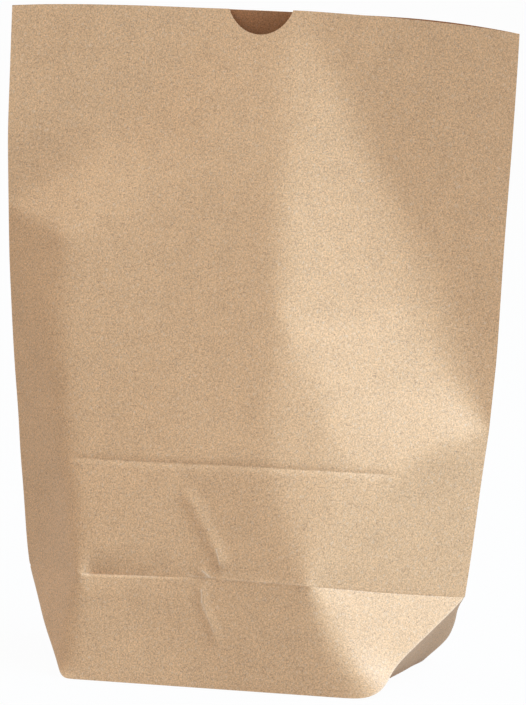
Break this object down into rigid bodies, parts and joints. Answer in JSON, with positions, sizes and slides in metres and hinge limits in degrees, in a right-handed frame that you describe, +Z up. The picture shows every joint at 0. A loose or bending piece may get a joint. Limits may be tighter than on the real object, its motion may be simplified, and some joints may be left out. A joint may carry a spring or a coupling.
{
  "type": "paper lunch bag",
  "caption": "Brown kraft paper lunch bag standing open on a folded, glued cross bottom, with a flat mouth and a thumb notch in its front edge.",
  "frame": {"origin": "middle of the base, on the surface that the bag stands on", "axes": "+Z up from the base to the mouth, the front with the thumb notch faces -Y, +X to the right as the front is seen"},
  "size_m": [0.2189, 0.092, 0.2709],
  "materials": {
    "brown_kraft": "satin"
  },
  "bodies": {
    "root": {"paper_bag": "brown_kraft"}
  },
  "joints": []
}
